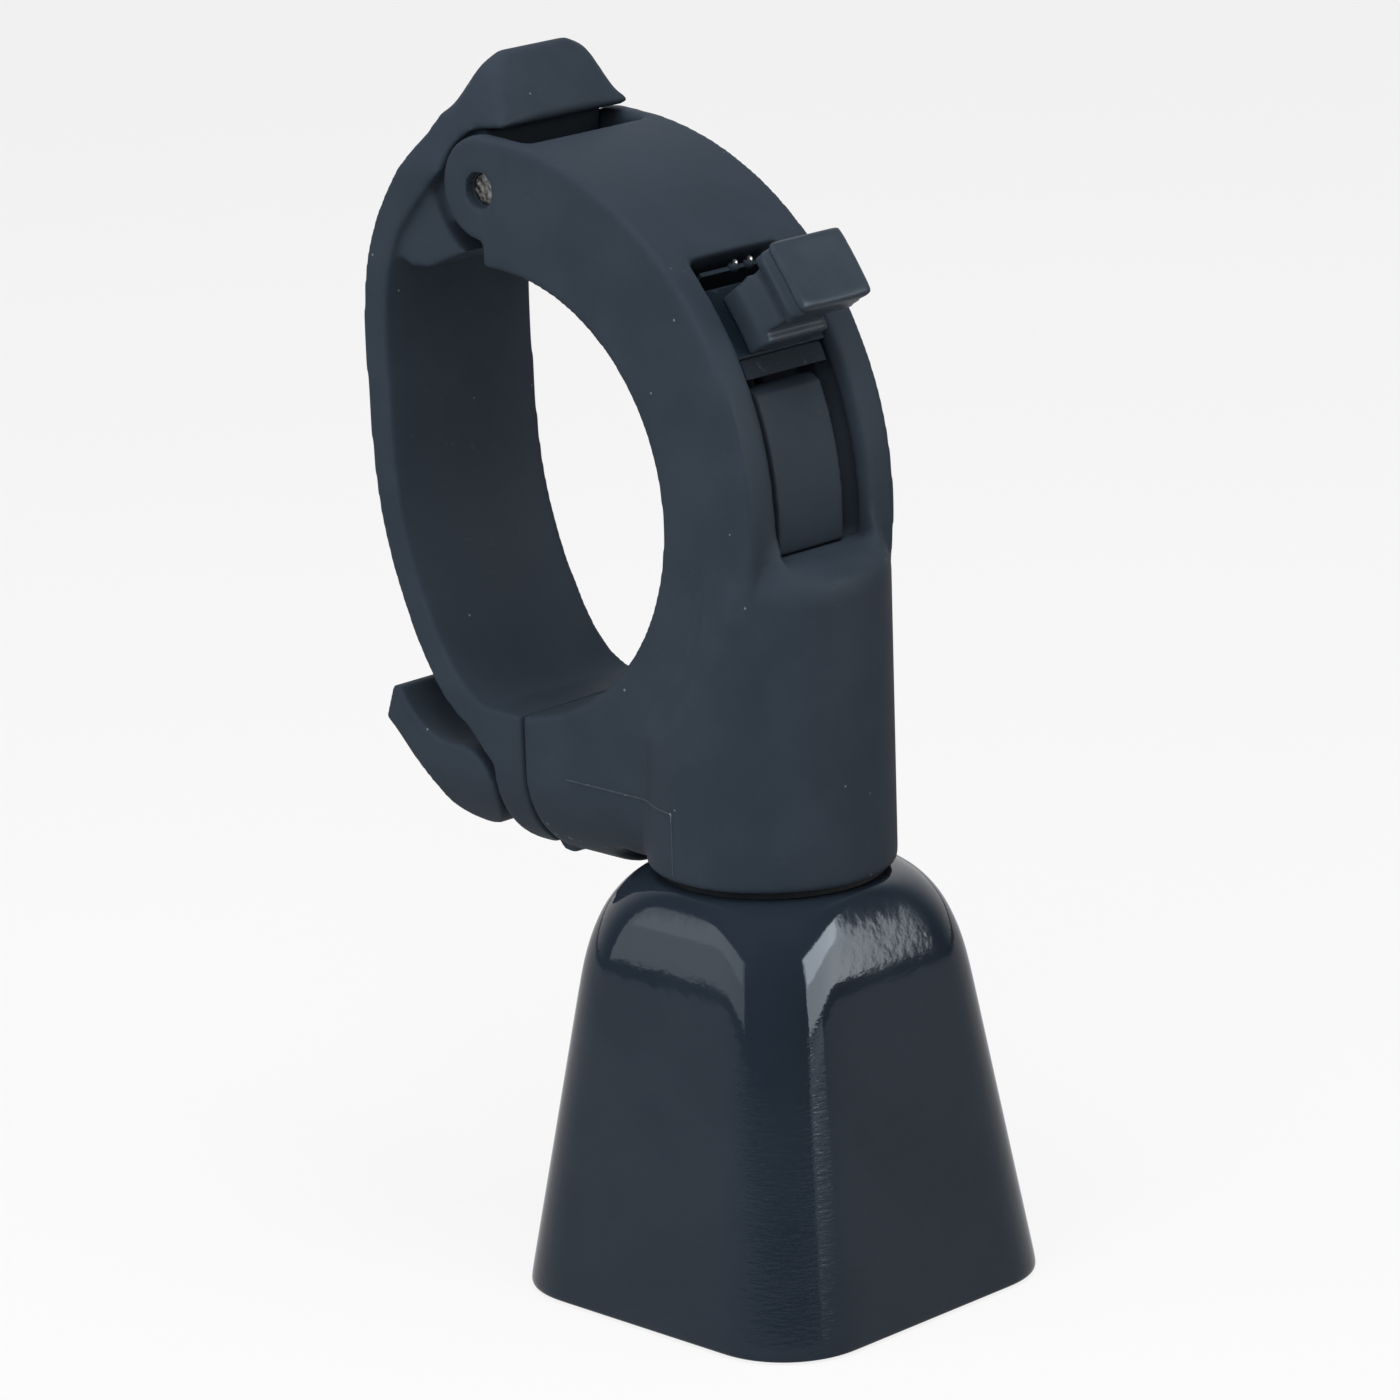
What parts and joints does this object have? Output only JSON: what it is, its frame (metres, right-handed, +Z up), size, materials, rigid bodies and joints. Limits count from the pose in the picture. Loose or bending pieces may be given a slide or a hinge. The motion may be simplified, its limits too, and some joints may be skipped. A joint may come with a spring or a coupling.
{
  "type": "handlebar cow bell",
  "caption": "Small square cow bell hung under a quick-release handlebar clamp, with a sliding switch that pulls its clapper up to silence it.",
  "frame": {"origin": "centre of the handlebar, half way along the clamp's width", "axes": "+Z up; +Y along the handlebar; +X from the strap side of the clamp towards the bell's neck"},
  "size_m": [0.051, 0.032, 0.0944],
  "materials": {
    "moulded_black": "fine-textured moulded nylon, nearly black with a blue cast",
    "gloss_black": "gloss black enamel on steel, slightly uneven",
    "bare_steel": "plain steel",
    "black_rubber": "matte",
    "white_nylon": "natural nylon",
    "clapper_brass": "turned"
  },
  "bodies": {
    "root": {"clamp_body": "moulded_black", "latch_pin": "bare_steel", "hinge_pin": "bare_steel", "slide_track": "moulded_black", "detent_spring": "bare_steel", "pull_cable": "bare_steel", "crown_washer": "black_rubber", "bell_shell": "gloss_black", "inner_washer": "bare_steel", "hollow_bolt": "bare_steel", "mute_pad": "black_rubber"},
    "arm": {"clamp_arm": "moulded_black", "cam_pin": "bare_steel", "draw_bolt": "bare_steel"},
    "cam_lever": {"cam_lever": "moulded_black"},
    "switch": {"switch_slider": "moulded_black", "switch_lever": "moulded_black", "cable_ball": "bare_steel"},
    "clapper_hanger": {"swivel_bead": "white_nylon"},
    "clapper": {"clapper": "clapper_brass", "clapper_wire": "bare_steel", "clapper_ferrule": "bare_steel"}
  },
  "joints": [
    {"name": "arm_swing", "type": "hinge", "parent": "root", "child": "arm", "pos_m": [0.00165, 0, -0.02825], "axis": [0, -1, 0], "range_deg": [0, 55]},
    {"name": "cam_lever_turn", "type": "hinge", "parent": "arm", "child": "cam_lever", "pos_m": [-0.00555, 0, -0.0246], "axis": [0, -1, 0], "range_deg": [0, 100]},
    {"name": "switch_slide", "type": "hinge", "parent": "root", "child": "switch", "pos_m": [0, 0, 0], "axis": [0, 1, 0], "range_deg": [0, 30], "deforming": ["pull_cable"]},
    {"name": "clapper_swing", "type": "hinge", "parent": "root", "child": "clapper_hanger", "pos_m": [0.0205, 0, -0.0314], "axis": [0, 1, 0], "range_deg": [-21, 21], "deforming": ["clapper_wire"]},
    {"name": "clapper_drop", "type": "slide", "parent": "clapper_hanger", "child": "clapper", "axis": [0, 0, -1], "range_m": [0, 0.01375]}
  ],
  "couplings": [
    {"joint": "switch_slide", "follows": "clapper_drop", "rad_per_m": 38}
  ]
}
